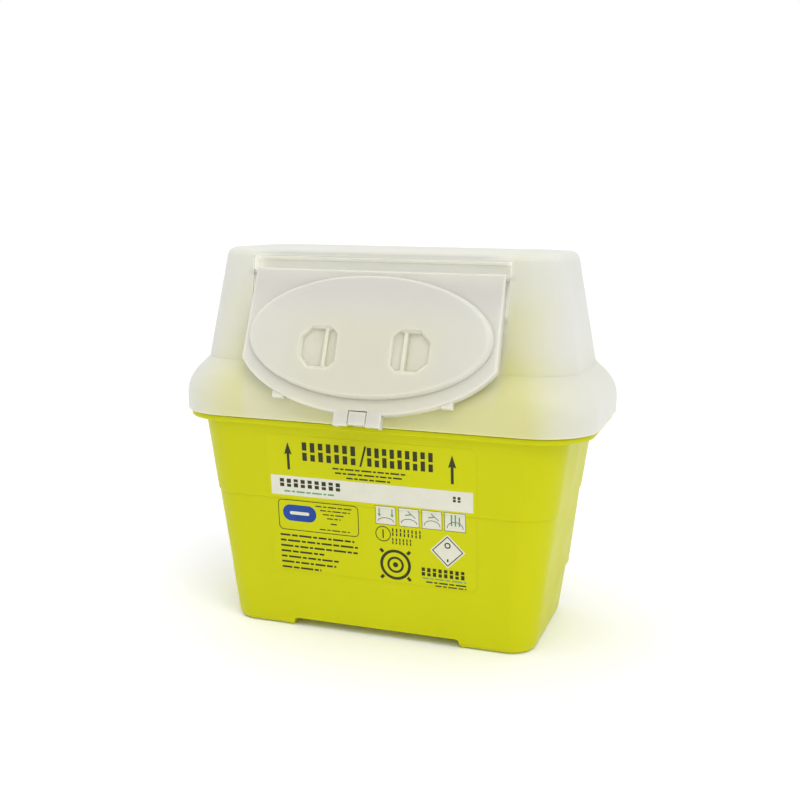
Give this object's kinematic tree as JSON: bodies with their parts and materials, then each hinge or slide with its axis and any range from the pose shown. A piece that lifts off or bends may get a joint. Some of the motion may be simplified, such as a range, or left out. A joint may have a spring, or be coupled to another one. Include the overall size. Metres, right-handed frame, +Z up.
{
  "type": "sharps container",
  "caption": "Drafted plastic tub with a press-fit translucent lid, whose sloping spout is closed by a hinged flap with a latch.",
  "frame": {"origin": "on the floor, under the middle of the bounding box", "axes": "+X along the container's width, -Y its front with the flap, +Z up"},
  "size_m": [0.202, 0.1184, 0.1834],
  "materials": {
    "tub_yellow": "injection moulded polypropylene, fine satin",
    "lid_natural": "natural translucent polypropylene, frosted",
    "flap_natural": "natural translucent polypropylene, frosted",
    "label_film": "thin printed film, low gloss"
  },
  "bodies": {
    "container": {"tub": "tub_yellow", "front_label": "label_film", "rear_label": "label_film"},
    "lid": {"lid_housing": "lid_natural"},
    "closure": {"flap": "flap_natural"},
    "latch": {"latch_tongue": "flap_natural"}
  },
  "joints": [
    {"name": "lid_lift", "type": "slide", "parent": "container", "child": "lid", "axis": [0, 0, 1], "range_m": [0, 0.06]},
    {"name": "flap_hinge", "type": "hinge", "parent": "lid", "child": "closure", "pos_m": [0, -0.03001, 0.17233], "axis": [-1, 0, 0], "range_deg": [0, 102]},
    {"name": "latch_flex", "type": "hinge", "parent": "closure", "child": "latch", "pos_m": [0, -0.05585, 0.11407], "axis": [-1, 0, 0], "range_deg": [0, 12], "stiffness_Nm_per_rad": 0.02}
  ]
}
